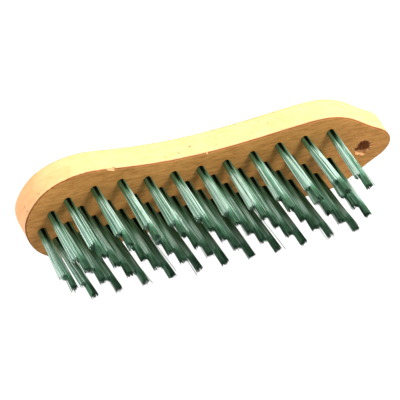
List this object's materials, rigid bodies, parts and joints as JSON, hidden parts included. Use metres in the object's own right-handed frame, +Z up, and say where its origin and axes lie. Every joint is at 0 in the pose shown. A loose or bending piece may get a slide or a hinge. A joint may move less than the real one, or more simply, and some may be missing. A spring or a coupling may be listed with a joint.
{
  "type": "wire brush",
  "caption": "Hand wire brush: a waisted beech block with rows of folded steel wire tufts on one face and a hanging hole through its narrow end.",
  "frame": {"origin": "middle of the brush's lower side, on the flat back of the block", "axes": "+X along the block to its broad end, the hanging hole is at -X; +Y across; +Z up, the way the wire points"},
  "size_m": [0.228, 0.064, 0.0693],
  "materials": {
    "beech": "clear-lacquered beech, fine lengthwise grain",
    "steel_wire": "bare drawn steel wire",
    "anchor_wire": "bare flat steel wire"
  },
  "bodies": {
    "root": {"block": "beech", "anchors": "anchor_wire", "tuft_r1_01": "steel_wire", "tuft_r1_02": "steel_wire", "tuft_r1_03": "steel_wire", "tuft_r1_04": "steel_wire", "tuft_r1_05": "steel_wire", "tuft_r1_06": "steel_wire", "tuft_r1_07": "steel_wire", "tuft_r1_08": "steel_wire", "tuft_r1_09": "steel_wire", "tuft_r1_10": "steel_wire", "tuft_r1_11": "steel_wire", "tuft_r2_01": "steel_wire", "tuft_r2_02": "steel_wire", "tuft_r2_03": "steel_wire", "tuft_r2_04": "steel_wire", "tuft_r2_05": "steel_wire", "tuft_r2_06": "steel_wire", "tuft_r2_07": "steel_wire", "tuft_r2_08": "steel_wire", "tuft_r2_09": "steel_wire", "tuft_r2_10": "steel_wire", "tuft_r2_11": "steel_wire", "tuft_r3_01": "steel_wire", "tuft_r3_02": "steel_wire", "tuft_r3_03": "steel_wire", "tuft_r3_04": "steel_wire", "tuft_r3_05": "steel_wire", "tuft_r3_06": "steel_wire", "tuft_r3_07": "steel_wire", "tuft_r3_08": "steel_wire", "tuft_r3_09": "steel_wire", "tuft_r3_10": "steel_wire", "tuft_r3_11": "steel_wire", "tuft_r3_12": "steel_wire", "tuft_r4_01": "steel_wire", "tuft_r4_02": "steel_wire", "tuft_r4_03": "steel_wire", "tuft_r4_04": "steel_wire", "tuft_r4_05": "steel_wire", "tuft_r4_06": "steel_wire", "tuft_r4_07": "steel_wire", "tuft_r4_08": "steel_wire", "tuft_r4_09": "steel_wire", "tuft_r4_10": "steel_wire", "tuft_r4_11": "steel_wire"}
  },
  "joints": []
}
